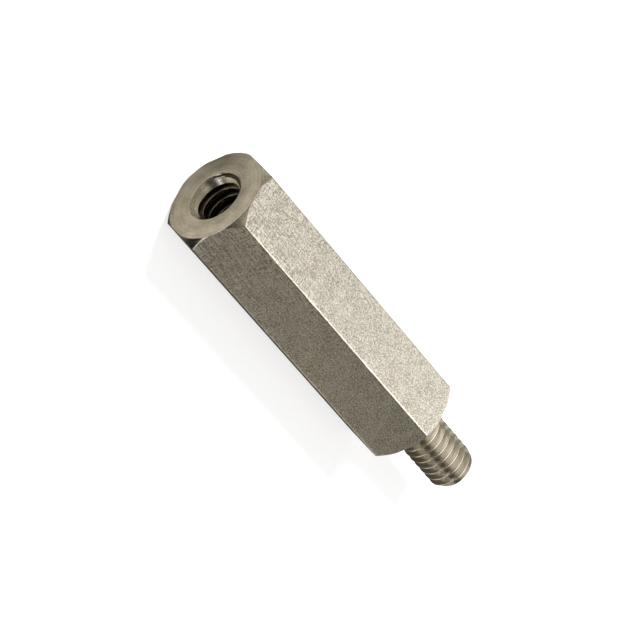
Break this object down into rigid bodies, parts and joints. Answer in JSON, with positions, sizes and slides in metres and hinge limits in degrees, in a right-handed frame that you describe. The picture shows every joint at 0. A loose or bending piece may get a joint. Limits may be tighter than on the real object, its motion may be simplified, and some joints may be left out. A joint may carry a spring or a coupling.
{
  "type": "hex standoff",
  "caption": "Hexagon standoff with a threaded stud on its shoulder end and a countersunk tapped hole in its other end, for spacing boards or panels apart.",
  "frame": {"origin": "on the common axis of the hexagon bar, the stud and the tapped hole, level with the shoulder that the stud stands on", "axes": "+X along the axis, out of the shoulder and toward the stud's tip; +Z square to the upper flat, so the standoff lies on the opposite flat"},
  "size_m": [0.0571, 0.0146, 0.0128],
  "materials": {
    "standoff": "satin drawn flats with a fine grain, and smooth turned ends"
  },
  "bodies": {
    "root": {"standoff": "standoff"}
  },
  "joints": []
}
